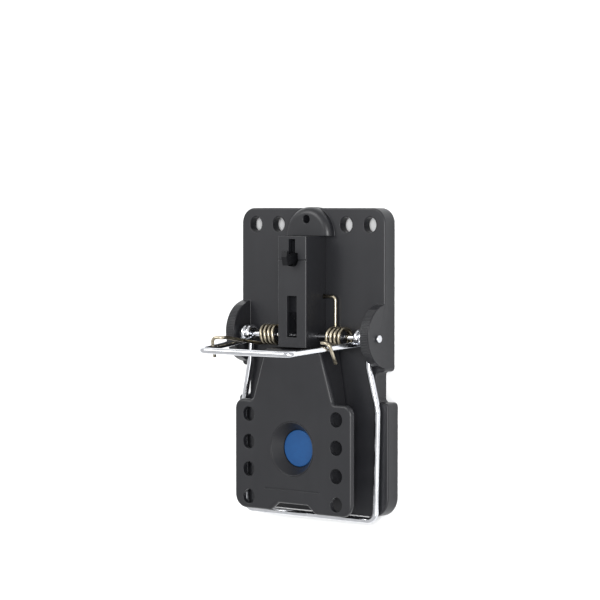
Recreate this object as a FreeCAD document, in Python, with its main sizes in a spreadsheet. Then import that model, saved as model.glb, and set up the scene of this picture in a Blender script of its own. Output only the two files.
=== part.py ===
import FreeCAD, Part
import math
import os
import re

import Sketcher
from FreeCAD import Placement, Rotation, Vector

# Snap trap with a moulded base, a treadle and two wire bows that turn together.
# The trap lies flat: +Z is up and +Y points to the rear, where the four holes are.
# Every sub-part is drawn about the axle, with Y = 0 on the axle and Z = 0 on the
# underside, and its Placement then carries it to the middle of the outer box.

# Driving sizes in millimetres, degrees and counts. "ahead" is towards -Y and
# "behind" is towards +Y, both from the axle, and a "half" is measured from X = 0.
SIZES = [
    ("base_thick", 7.5, "height of the base, all over"),
    ("base_margin", 5.5, "front section of the base, past the kill bow's middle line"),
    ("base_rear_inset", 1.9, "side of the rear section, in from the front section's"),
    ("base_bar_overhang", 1.4, "middle of the kill bow's bar, ahead of the base"),
    ("base_plate", 3.6, "top plate of the base over its hollows"),
    ("hole_plate", 4.5, "top plate of the base at the row of holes"),
    ("waist_inset", 4.6, "side of the waist, in from the rear section's"),
    ("waist_deck_gap", 0.5, "where the waist ends, behind the deck's rear edge"),
    ("waist_begin", 15.2, "where the waist begins, ahead of the axle"),
    ("base_rear_corner", 7.0, "corner radius at the rear"),
    ("base_front_corner", 9.0, "corner radius at the front"),
    ("waist_corner", 1.8, "corner radius at the waist"),
    ("base_edge_round", 0.8, "rounding of the base's upper edge"),
    ("rim_wall", 2.6, "wall between the hollows and the outline"),
    ("rib_wall", 1.5, "rib between two hollows"),
    ("hollow_columns", 6, "count of hollows across"),
    ("hollow_rows", 9, "count of hollows along"),
    ("hole_row_inset", 7.5, "row of screw holes, ahead of the rear edge"),
    ("hole_inner", 19.7, "inner screw holes, from the middle"),
    ("hole_outer", 33.2, "outer screw holes, from the middle"),
    ("hole_radius", 3.5, "radius of a screw hole"),
    ("hole_strip_half", 4.9, "half length of the hollow under the hole row"),
    ("lug_over_rod", 6.9, "top of a side lug, above the rod's middle"),
    ("lug_centre_sunk", 2.4, "centre of the lug's round, below the base's top"),
    ("lug_behind", 0.8, "centre of the lug's round, behind the axle"),
    ("lug_thick", 5.0, "thickness of a side lug"),
    ("nose_radius", 13.2, "radius of the rounded nose at the rear"),
    ("nose_over_base", 4.1, "top of the nose, above the base"),
    ("nose_proud", 0.5, "how far the nose stands out past the base's rear edge"),
    ("nose_round", 3.2, "rounding of the nose's upper edge"),
    ("tether_hole_radius", 1.9, "radius of the tether hole in the nose"),
    ("tether_hole_inset", 5.6, "tether hole, ahead of the nose's end"),
    ("axle_over_base", 5.1, "axle, above the base"),
    ("rod_radius", 1.3, "radius of the axle rod"),
    ("rod_chamfer", 0.25, "chamfer on the ends of the rod"),
    ("running_gap", 0.06, "radial gap of a piece that turns on a pin or the rod"),
    ("seat_gap", 0.03, "radial gap of a piece that is pushed onto a pin or the rod"),
    ("cap_radius", 1.75, "radius of the cap on the rod's end"),
    ("cap_length", 1.2, "length of the cap"),
    ("cap_end", 0.6, "closed end of the cap"),
    ("cap_gap", 0.1, "gap between the cap and the lug"),
    ("cap_round", 0.3, "rounding of the cap's end"),
    ("washer_radius", 3.2, "radius of the washer beside the lug"),
    ("washer_thick", 0.5, "thickness of the washer"),
    ("washer_gap", 0.1, "gap between the washer and the lug"),
    ("pivot_ahead", 9.0, "treadle pin, ahead of the axle"),
    ("pivot_over_base", 3.7, "treadle pin, above the base"),
    ("pivot_pin_radius", 1.2, "radius of the treadle pin"),
    ("ear_radius", 2.8, "radius of an ear round the treadle pin"),
    ("ear_thick", 2.8, "thickness of an ear"),
    ("top_over_base", 14.5, "top of the deck and of the ridge, above the base"),
    ("housing_side_gap", 0.6, "gap between the trip arm and the ridge's wall"),
    ("housing_end_gap", 0.9, "gap between the trip arm's end and the ridge's rear wall"),
    ("housing_neck_gap", 0.9, "gap between the ridge and the neck"),
    ("housing_wall", 2.2, "side wall of the ridge"),
    ("housing_roof", 2.0, "roof of the ridge"),
    ("housing_end_wall", 1.1, "rear wall of the ridge"),
    ("housing_edge_round", 0.7, "rounding of the ridge's long upper edges"),
    ("slot_half", 2.8, "half width of the long slot"),
    ("slot_front", 0.4, "front end of the slot, ahead of the axle"),
    ("slot_rear", 18.35, "rear end of the slot, behind the axle"),
    ("keyhole_half", 3.4, "half width of the keyhole's wide part"),
    ("keyhole_corner", 2.4, "corner radius at the front of the wide part"),
    ("keyhole_front", 5.7, "front of the wide part, ahead of the catch pin"),
    ("keyhole_step", 0.35, "where the keyhole narrows, behind the catch pin"),
    ("keyhole_rear", 6.6, "end of the narrow part, behind the catch pin"),
    ("keyhole_side_gap", 0.35, "gap between the catch and the narrow part"),
    ("score_width", 0.5, "width of the score line across the ridge"),
    ("score_depth", 0.4, "depth of the score line"),
    ("score_ahead", 3.0, "score line, ahead of the catch pin"),
    ("deck_half", 34.0, "half width of the deck"),
    ("deck_rear", 29.5, "rear edge of the deck, ahead of the axle"),
    ("deck_front", 79.8, "front edge of the deck, ahead of the axle"),
    ("deck_plate", 2.2, "thickness of the deck's plate"),
    ("deck_wall", 1.8, "thickness of the walls under the deck"),
    ("deck_base_gap", 0.5, "gap between those walls and the base"),
    ("deck_front_corner", 6.2, "corner radius at the deck's front"),
    ("deck_shoulder", 4.6, "corner radius at the deck's rear"),
    ("deck_edge_round", 1.5, "rounding of the deck's upper edge"),
    ("neck_half", 23.4, "half width of the neck where it meets the deck"),
    ("neck_rear_half", 16.0, "half width of the neck at its rear edge"),
    ("neck_corner", 1.8, "corner radius at the neck's rear and at its foot"),
    ("beam_half", 20.0, "half width of the hollow beam under the deck"),
    ("beam_front", 68.0, "front end of the beam, ahead of the axle"),
    ("neck_coil_gap", 1.0, "gap between the neck and the springs"),
    ("groove_half", 15.9, "half length of the groove across the deck"),
    ("groove_width", 0.6, "width of the groove"),
    ("groove_depth", 0.35, "depth of the groove"),
    ("groove_inset", 9.8, "groove, behind the deck's front edge"),
    ("notch_depth", 3.7, "depth of the notch in the deck's front"),
    ("notch_floor_half", 8.5, "half width of the notch at its floor"),
    ("notch_mouth_half", 13.1, "half width of the notch at its mouth"),
    ("vent_radius", 3.4, "radius of a hole in the deck"),
    ("vent_inset", 8.6, "holes in the deck, in from its side"),
    ("vent_rear_inset", 6.8, "first hole in the deck, ahead of its rear edge"),
    ("vent_front_inset", 5.5, "last hole in the deck, behind its front edge"),
    ("vent_count", 4, "count of holes on each side of the deck"),
    ("cup_rear_inset", 21.5, "centre of the bait cup, ahead of the deck's rear edge"),
    ("cup_flange_radius", 12.4, "radius of the cup's rim"),
    ("cup_flange_thick", 4.0, "height of the cup's rim"),
    ("cup_lip", 0.4, "flat lip of the rim, round the dished wall"),
    ("cup_well_radius", 8.6, "radius of the cup at the pad"),
    ("cup_wall", 2.0, "wall of the cup"),
    ("cup_floor", 1.4, "floor of the cup"),
    ("cup_fit", 0.1, "radial gap between the cup and the deck"),
    ("cup_ledge", 1.8, "ledge of the deck that carries the rim"),
    ("pad_gap", 0.2, "radial gap round the attractant pad"),
    ("pad_thick", 1.7, "thickness of the attractant pad"),
    ("pad_depth", 4.8, "top of the pad, below the deck's face"),
    ("arm_half", 5.4, "half width of the trip arm"),
    ("arm_side_gap", 0.5, "gap on each side of the trip arm"),
    ("arm_base_gap", 1.1, "gap between the trip arm and the base"),
    ("arm_rod_gap", 0.6, "gap between the trip arm and the rod"),
    ("arm_front", 24.0, "front end of the trip arm, ahead of the axle"),
    ("arm_rise_begin", 4.0, "where the arm begins to rise, behind the axle"),
    ("arm_rise_end", 11.0, "where the arm has risen, behind the axle"),
    ("tail_catch_gap", 0.95, "gap between the tail and the released catch's cross bar"),
    ("tail_short", 0.4, "end of the tail, ahead of the cross bar's rear"),
    ("tail_thick", 3.6, "thickness of the tail"),
    ("fork_gap", 0.5, "gap between the catch and the fork's prongs"),
    ("fork_ahead", 9.0, "front end of the fork, ahead of the catch pin"),
    ("catch_setback", 4.4, "catch pin, ahead of the bar that the catch holds"),
    ("catch_over_base", 3.5, "catch pin, above the base"),
    ("catch_pin_radius", 1.0, "radius of the catch pin"),
    ("catch_pin_cover", 0.8, "wall of the ridge past each end of the catch pin"),
    ("catch_half", 1.5, "half width of the catch"),
    ("catch_boss", 2.3, "radius of the catch round its pin"),
    ("catch_post_front", 1.3, "front face of the post, ahead of its pin"),
    ("catch_hook_gap", 0.3, "gap between the hook and the bar that it holds"),
    ("catch_beak_over", 0.6, "tip of the beak, past the middle of the bar"),
    ("catch_beak_thick", 2.0, "thickness of the beak"),
    ("catch_tail_begin", 4.0, "front of the catch's cross bar, behind its pin"),
    ("catch_tail_end", 6.3, "rear of the catch's cross bar, behind its pin"),
    ("catch_tail_high", 0.5, "top of the cross bar, above its pin"),
    ("catch_tail_low", 1.4, "underside of the cross bar, below its pin"),
    ("catch_travel", 14.0, "turn of the catch from released to hooked, degrees"),
    ("wire_radius", 1.4, "radius of the bows' wire"),
    ("eye_gap", 0.08, "radial gap between an eye and the rod"),
    ("eye_turn", 280.0, "how far an eye goes round the rod, degrees"),
    ("weld_bite", 0.15, "how far the two eyes are pressed into each other"),
    ("eye_side_gap", 0.3, "gap between the kill bow's eye and the washer"),
    ("setting_taper", 5.95, "side of the setting bow at its bar, in from its eye"),
    ("setting_reach", 43.25, "from the axle to the setting bar"),
    ("bow_travel", 82.6, "turn of the bows from closed to set, degrees"),
    ("setting_corner", 4.0, "bend radius at the setting bow's corners"),
    ("setting_straight", 3.0, "straight of the setting bow above its eye"),
    ("kill_side_gap", 2.6, "gap between the kill bow and the deck's side, in front"),
    ("kill_deck_gap", 0.35, "gap between the kill bow and the deck's front edge"),
    ("kill_rest_gap", 0.3, "gap between the closed kill bow and the base"),
    ("kill_straight", 5.0, "straight of the kill bow ahead of its eye"),
    ("kill_lug_gap", 0.6, "gap between the kill bow and the lug's inner face"),
    ("kill_lug_past", 0.4, "knee of the kill bow, past the lug's front end"),
    ("kill_knee_lift", 0.7, "knee of the kill bow, above its rest height"),
    ("kill_wide_past", 3.0, "widest place of the kill bow, ahead of the deck's rear edge"),
    ("kill_wide_out", 1.1, "side of the kill bow there, out from its front corner"),
    ("kill_corner", 4.6, "bend radius at the kill bow's front corners"),
    ("arm_bend", 9.0, "bend radius along a bow's arm"),
    ("coil_radius", 4.02, "mean radius of a spring's coils"),
    ("coil_wire", 0.78, "radius of a spring's wire"),
    ("coil_setback", 7.25, "outer end of the coils, in from the setting bow's eye"),
    ("coil_pitch", 2.3, "from coil to coil"),
    ("coil_turns", 4, "whole turns of a spring, to which a quarter is added"),
    ("leg_behind", 18.0, "bend of the fixed leg, behind the axle"),
    ("leg_bend", 1.9, "bend radius of a spring's legs"),
    ("leg_bite", 1.6, "how far the fixed leg goes into the ridge's wall"),
    ("leg_hole_gap", 0.25, "gap round the leg in the ridge's wall"),
    ("hook_right", 22.2, "height of the right spring's hook above the axle"),
    ("hook_left", 29.4, "height of the left spring's hook above the axle"),
    ("hook_gap", 0.5, "gap between a spring's hook and the setting bow"),
    ("hook_tail_right", 6.4, "free end of the right hook, past the setting bow"),
    ("hook_tail_left", 4.9, "free end of the left hook, past the setting bow"),
    ("hook_lean_right", 0.1, "how far the right hook leans to the rear"),
    ("hook_lean_left", 1.4, "how far the left hook leans to the rear"),
    ("hook_drop_right", 4.6, "free end of the right hook, below its top"),
    ("hook_drop_left", 2.4, "free end of the left hook, below its top"),
    ("hook_spread", 0.3, "how far a hook's end spreads outward"),
    ("hook_curl", 2.6, "bend of a hook before its free end"),
    ("leg_rise", 3.8, "upright run of the turning leg above the coil"),
    ("bush_gap", 0.3, "radial gap between a spring and its bush"),
    ("bush_inset", 2.5, "end of a bush, in from the end of the coils"),
]

# Places that follow from the driving sizes, as formulas in them.
PLACES = [
    ("eye_radius", "rod_radius + eye_gap + wire_radius"),
    ("axle_height", "base_thick + axle_over_base"),
    ("top_height", "base_thick + top_over_base"),
    ("pivot_height", "base_thick + pivot_over_base"),
    ("catch_pin_height", "base_thick + catch_over_base"),
    ("nose_height", "base_thick + nose_over_base"),
    ("skirt_low", "base_thick + deck_base_gap"),
    ("deck_under", "top_height - deck_plate"),
    ("neck_rear", "coil_radius + coil_wire + neck_coil_gap"),
    ("notch_floor", "deck_front - notch_depth"),
    ("kill_rest", "base_thick + kill_rest_gap + wire_radius - axle_height"),
    ("deck_tip_up", "top_height - deck_edge_round - axle_height"),
    ("deck_tip_ahead", "deck_front - deck_edge_round"),
    ("deck_tip_reach", "sqrt(pow(deck_tip_ahead; 2) + pow(deck_tip_up; 2))"),
    ("kill_reach", "deck_tip_reach + deck_edge_round + kill_deck_gap + wire_radius"),
    ("kill_ahead", "sqrt(pow(kill_reach; 2) - pow(kill_rest; 2))"),
    ("kill_front_edge", "kill_ahead + wire_radius"),
    ("kill_front_half", "deck_half + kill_side_gap + wire_radius"),
    ("kill_wide_half", "kill_front_half + kill_wide_out"),
    ("kill_wide_ahead", "deck_rear + kill_wide_past"),
    ("base_front", "kill_ahead - base_bar_overhang"),
    ("base_front_half", "kill_front_half + base_margin"),
    ("base_rear_half", "base_front_half - base_rear_inset"),
    ("waist_half", "base_rear_half - waist_inset"),
    ("waist_end", "deck_rear - waist_deck_gap"),
    ("lug_outer", "base_rear_half"),
    ("lug_inner", "lug_outer - lug_thick"),
    ("lug_centre_height", "base_thick - lug_centre_sunk"),
    ("lug_radius", "axle_height + lug_over_rod - lug_centre_height"),
    ("cap_inner", "lug_outer + cap_gap"),
    ("rod_half", "cap_inner + cap_length - cap_end"),
    ("washer_inner", "lug_inner - washer_gap - washer_thick"),
    ("kill_eye", "washer_inner - eye_side_gap - wire_radius"),
    ("setting_eye", "kill_eye - 2 * wire_radius + weld_bite"),
    ("setting_half", "setting_eye - setting_taper"),
    ("kill_knee_half", "lug_inner - kill_lug_gap - wire_radius"),
    ("kill_knee_height", "axle_height + kill_rest + kill_knee_lift"),
    ("lug_rise", "kill_knee_height - lug_centre_height"),
    ("lug_reach", "sqrt(pow(lug_radius; 2) - pow(lug_rise; 2))"),
    ("kill_knee_ahead", "lug_reach - lug_behind + kill_lug_past"),
    ("armed_bar_height", "top_height + catch_hook_gap + wire_radius"),
    ("armed_angle", "asin((armed_bar_height - axle_height) / setting_reach)"),
    ("armed_bar_behind", "setting_reach * cos(armed_angle)"),
    ("setting_angle", "bow_travel + armed_angle / (1 deg)"),
    ("setting_bar_up", "setting_reach * sin(setting_angle)"),
    ("setting_bar_ahead", "-setting_reach * cos(setting_angle)"),
    ("catch_pin_behind", "armed_bar_behind - catch_setback"),
    ("post_rear", "armed_bar_behind - wire_radius - catch_hook_gap - catch_pin_behind"),
    ("beak_low", "armed_bar_height + wire_radius + catch_hook_gap - catch_pin_height"),
    ("beak_tip", "armed_bar_behind + catch_beak_over - catch_pin_behind"),
    ("bar_rise", "catch_tail_end * sin(catch_travel) + catch_tail_high * cos(catch_travel)"),
    ("tail_low", "catch_pin_height + bar_rise + tail_catch_gap"),
    ("tail_high", "tail_low + tail_thick"),
    ("tail_rear", "catch_pin_behind + catch_tail_end - tail_short"),
    ("fork_half", "catch_half + fork_gap"),
    ("fork_front", "catch_pin_behind - fork_ahead"),
    ("housing_clear_half", "arm_half + housing_side_gap"),
    ("housing_half", "housing_clear_half + housing_wall"),
    ("catch_pin_half", "housing_half - catch_pin_cover"),
    ("housing_clear_height", "top_height - housing_roof"),
    ("housing_clear_rear", "tail_rear + housing_end_gap"),
    ("housing_rear", "housing_clear_rear + housing_end_wall"),
    ("housing_front", "neck_rear - housing_neck_gap"),
    ("keyhole_narrow", "catch_half + keyhole_side_gap"),
    ("score_behind", "catch_pin_behind - score_ahead"),
    ("nose_centre", "housing_rear"),
    ("nose_end", "nose_centre + nose_radius"),
    ("base_rear", "nose_end - nose_proud"),
    ("hole_row", "base_rear - hole_row_inset"),
    ("axle_place", "(kill_front_edge - nose_end) / 2"),
    ("ear_inner", "arm_half + arm_side_gap"),
    ("ear_outer", "ear_inner + ear_thick"),
    ("gate_half", "ear_outer + arm_side_gap"),
    ("vent_across", "deck_half - vent_inset"),
    ("vent_first", "deck_rear + vent_rear_inset"),
    ("vent_pitch", "(deck_front - vent_front_inset - vent_first) / (vent_count - 1)"),
    ("groove_ahead", "deck_front - groove_inset"),
    ("cup_ahead", "deck_rear + cup_rear_inset"),
    ("cup_seat", "top_height - cup_flange_thick"),
    ("cup_lip_radius", "cup_flange_radius - cup_lip"),
    ("cup_shell_radius", "cup_well_radius + cup_wall"),
    ("cup_hole_radius", "cup_shell_radius + cup_fit"),
    ("cup_recess_radius", "cup_flange_radius + cup_fit"),
    ("pad_radius", "cup_well_radius - pad_gap"),
    ("pad_top", "top_height - pad_depth"),
    ("pad_low", "pad_top - pad_thick"),
    ("arm_low", "base_thick + arm_base_gap"),
    ("arm_under_rod", "axle_height - rod_radius - arm_rod_gap"),
    ("coil_outer", "setting_eye - coil_setback"),
    ("coil_inner", "coil_outer - (coil_turns + 0.25) * coil_pitch"),
    ("hollow_wide", "(2 * (waist_half - rim_wall) + rib_wall) / hollow_columns"),
    ("hollow_rear", "hole_row - hole_strip_half - rib_wall"),
    ("hollow_front", "base_front - rim_wall"),
    ("hollow_long", "(hollow_rear + hollow_front + rib_wall) / hollow_rows"),
]

doc = FreeCAD.newDocument("SnapTrap")
sizes = doc.addObject("Spreadsheet::Sheet", "Sizes")
places = doc.addObject("Spreadsheet::Sheet", "Places")
DRIVING = {name for name, _, _ in SIZES}
DERIVED = {name for name, _ in PLACES}


def bound(text):
    """Return the formula with every size and place pointing at its cell."""

    def point(match):
        word = match.group(0)
        if word in DRIVING:
            return "<<Sizes>>." + word
        return "<<Places>>." + word if word in DERIVED else word

    return re.sub(r"[a-z][a-z_]+", point, str(text))


for row, (name, value, note) in enumerate(SIZES, start=1):
    sizes.set(f"A{row}", str(value))
    sizes.setAlias(f"A{row}", name)
    sizes.set(f"B{row}", note)
doc.recompute()
for row, (name, formula) in enumerate(PLACES, start=1):
    places.setAlias(f"A{row}", name)
    places.set(f"A{row}", "=" + bound(formula))
doc.recompute()


def read(name):
    """Return a size or a place as a number."""
    cell = (sizes if name in DRIVING else places).get(name)
    return float(getattr(cell, "Value", cell))


# Sketches and features.


def new_body(label):
    body = doc.addObject("PartDesign::Body", "Body_" + label)
    body.Label = label
    body.setExpression("Placement.Base.y", bound("axle_place"))
    return body


def origin_part(body, role):
    return next(item for item in body.Origin.OriginFeatures if item.Role == role)


def new_sketch(body, name, role, offset=None):
    """Add a sketch on one of the body's origin planes, moved along its normal."""
    sketch = body.newObject("Sketcher::SketchObject", name)
    sketch.AttachmentSupport = [(origin_part(body, role), "")]
    sketch.MapMode = "FlatFace"
    if offset is not None:
        sketch.setExpression("AttachmentOffset.Base.z", bound(offset))
    return sketch


def pin_point(sketch, geometry, point, across, along):
    """Hold one point of a sketch at a place given by two formulas."""
    for kind, formula in (("DistanceX", across), ("DistanceY", along)):
        start = sketch.getPoint(geometry, point)
        value = start.x if kind == "DistanceX" else start.y
        index = sketch.addConstraint(
            Sketcher.Constraint(kind, -1, 1, geometry, point, value)
        )
        sketch.setExpression(f"Constraints[{index}]", bound(formula))


helper = doc.addObject("App::FeaturePython", "Evaluator")


def number(formula):
    """Return the value of a formula in sizes and places."""
    value = helper.evalExpression(bound(formula))
    return float(getattr(value, "Value", value))


def draw_polygon(sketch, corners):
    """Draw a closed outline through corners given as pairs of formulas."""
    points = [Vector(number(a), number(b), 0) for a, b in corners]
    count = len(points)
    first = sketch.GeometryCount
    for index in range(count):
        sketch.addGeometry(
            Part.LineSegment(points[index], points[(index + 1) % count]), False
        )
    for index in range(count):
        following = first + (index + 1) % count
        sketch.addConstraint(
            Sketcher.Constraint("Coincident", first + index, 2, following, 1)
        )
    for index, (across, along) in enumerate(corners):
        pin_point(sketch, first + index, 1, across, along)


def draw_rectangle(sketch, low_a, high_a, low_b, high_b):
    draw_polygon(
        sketch, [(low_a, low_b), (high_a, low_b), (high_a, high_b), (low_a, high_b)]
    )


def draw_circle(sketch, across, along, radius):
    centre = Vector(number(across), number(along), 0)
    index = sketch.addGeometry(
        Part.Circle(centre, Vector(0, 0, 1), number(radius)), False
    )
    pin_point(sketch, index, 3, across, along)
    held = sketch.addConstraint(Sketcher.Constraint("Radius", index, number(radius)))
    sketch.setExpression(f"Constraints[{held}]", bound(radius))


def draw_arch(sketch, across, along, radius, foot):
    """Draw an upright tab: straight sides from its foot and a half round top."""
    a, b, r, low = (number(v) for v in (across, along, radius, foot))
    arc = sketch.addGeometry(
        Part.ArcOfCircle(Part.Circle(Vector(a, b, 0), Vector(0, 0, 1), r), 0, math.pi),
        False,
    )
    corners = [Vector(a - r, b, 0), Vector(a - r, low, 0), Vector(a + r, low, 0)]
    corners.append(Vector(a + r, b, 0))
    lines = [
        sketch.addGeometry(Part.LineSegment(corners[i], corners[i + 1]), False)
        for i in range(3)
    ]
    for kind, one, end, two, begin in (
        ("Tangent", arc, 2, lines[0], 1),
        ("Coincident", lines[0], 2, lines[1], 1),
        ("Coincident", lines[1], 2, lines[2], 1),
        ("Tangent", lines[2], 2, arc, 1),
    ):
        sketch.addConstraint(Sketcher.Constraint(kind, one, end, two, begin))
    sketch.addConstraint(Sketcher.Constraint("Vertical", lines[0]))
    sketch.addConstraint(Sketcher.Constraint("Horizontal", lines[1]))
    sketch.addConstraint(Sketcher.Constraint("Vertical", lines[2]))
    pin_point(sketch, arc, 3, across, along)
    held = sketch.addConstraint(Sketcher.Constraint("Radius", arc, r))
    sketch.setExpression(f"Constraints[{held}]", bound(radius))
    height = sketch.addConstraint(
        Sketcher.Constraint("DistanceY", -1, 1, lines[1], 1, low)
    )
    sketch.setExpression(f"Constraints[{height}]", bound(foot))


def add_pad(body, sketch, name, length, both_ways=False, backwards=False):
    pad = body.newObject("PartDesign::Pad", name)
    pad.Profile = sketch
    pad.setExpression("Length", bound(length))
    pad.Midplane = both_ways
    pad.Reversed = backwards
    doc.recompute()
    return pad


def add_pocket(body, sketch, name, length, both_ways=False, backwards=False):
    """Cut a pocket and check that it takes something away."""
    before = body.Tip.Shape.Volume
    pocket = body.newObject("PartDesign::Pocket", name)
    pocket.Profile = sketch
    pocket.setExpression("Length", bound(length))
    pocket.Midplane = both_ways
    pocket.Reversed = backwards
    doc.recompute()
    if pocket.Shape.isNull() or pocket.Shape.Volume > before - 0.01:
        raise RuntimeError(f"{body.Label}: {name} cuts nothing")
    return pocket


def add_revolution(body, sketch, name, angle=360.0, backwards=False):
    turned = body.newObject("PartDesign::Revolution", name)
    turned.Profile = sketch
    turned.ReferenceAxis = (sketch, ["V_Axis"])
    turned.Angle = angle
    turned.Reversed = backwards
    doc.recompute()
    return turned


def add_mirror(body, features, name):
    mirror = body.newObject("PartDesign::Mirrored", name)
    mirror.Originals = features
    mirror.MirrorPlane = (origin_part(body, "YZ_Plane"), [""])
    body.Tip = mirror
    doc.recompute()
    return mirror


def add_row(body, features, name, direction, pitch, count, backwards=False):
    """Repeat features along an origin axis of the body at a steady pitch."""
    row_of = body.newObject("PartDesign::LinearPattern", name)
    row_of.Originals = features
    row_of.Direction = (origin_part(body, direction), [""])
    row_of.Reversed = backwards
    row_of.setExpression("Length", bound(f"{pitch} * ({count} - 1)"))
    row_of.setExpression("Occurrences", bound(count))
    body.Tip = row_of
    doc.recompute()
    return row_of


def add_fillet(body, name, radius, wanted):
    """Round the edges of the body's last feature that the test picks."""
    base = body.Tip
    names = [
        f"Edge{i}" for i, edge in enumerate(base.Shape.Edges, start=1) if wanted(edge)
    ]
    if not names:
        raise RuntimeError(f"{body.Label}: {name} finds no edge")
    fillet = body.newObject("PartDesign::Fillet", name)
    fillet.Base = (base, names)
    fillet.setExpression("Radius", bound(radius))
    doc.recompute()
    return fillet


def upright_at(corners):
    """Return a test for upright edges that stand over the given corners."""
    spots = [(number(a), number(b)) for a, b in corners]

    def test(edge):
        box = edge.BoundBox
        if box.XLength > 1e-6 or box.YLength > 1e-6:
            return False
        return any(math.hypot(box.XMin - x, box.YMin - y) < 1e-4 for x, y in spots)

    return test


def is_line(edge):
    return isinstance(edge.Curve, Part.Line)


def edge_at_height(height):
    """Return a test for edges that lie in the level plane at a height."""
    level = number(height)

    def test(edge):
        box = edge.BoundBox
        return abs(box.ZMin - level) < 1e-5 and abs(box.ZMax - level) < 1e-5

    return test


def both_sides(corners):
    """Return the corners with their mirror images across X = 0."""
    return corners + [(f"-({a})", b) for a, b in corners]


def bored_cylinder(label, radius, bore, inner, outer, side):
    """Make a ring along X between two distances from the middle."""
    width = f"{outer} - ({inner})"
    start = inner if side > 0 else f"-({outer})"
    solids = []
    for role, size in (("Outer", radius), ("Bore", bore)):
        tube = doc.addObject("Part::Cylinder", f"{role}_{label}")
        tube.setExpression("Radius", bound(size))
        tube.setExpression("Height", bound(width))
        tube.Placement = Placement(Vector(), Rotation(Vector(0, 1, 0), 90))
        tube.setExpression("Placement.Base.x", bound(start))
        tube.setExpression("Placement.Base.z", bound("axle_height"))
        solids.append(tube)
    ring = doc.addObject("Part::Cut", "Ring_" + label)
    ring.Base, ring.Tool = solids
    ring.Label = label
    ring.setExpression("Placement.Base.y", bound("axle_place"))
    return ring


def pin_across(label, radius, half, behind, height):
    """Make a pin that lies along X and is centred on X = 0."""
    pin = doc.addObject("Part::Cylinder", "Pin_" + label)
    pin.Label = label
    pin.setExpression("Radius", bound(radius))
    pin.setExpression("Height", bound(f"2 * ({half})"))
    pin.Placement = Placement(Vector(), Rotation(Vector(0, 1, 0), 90))
    pin.setExpression("Placement.Base.x", bound(f"-({half})"))
    pin.setExpression("Placement.Base.y", bound(f"axle_place + ({behind})"))
    pin.setExpression("Placement.Base.z", bound(height))
    return pin


# Base: an open moulded tray with side lugs, pin ears and a rounded nose.


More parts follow.
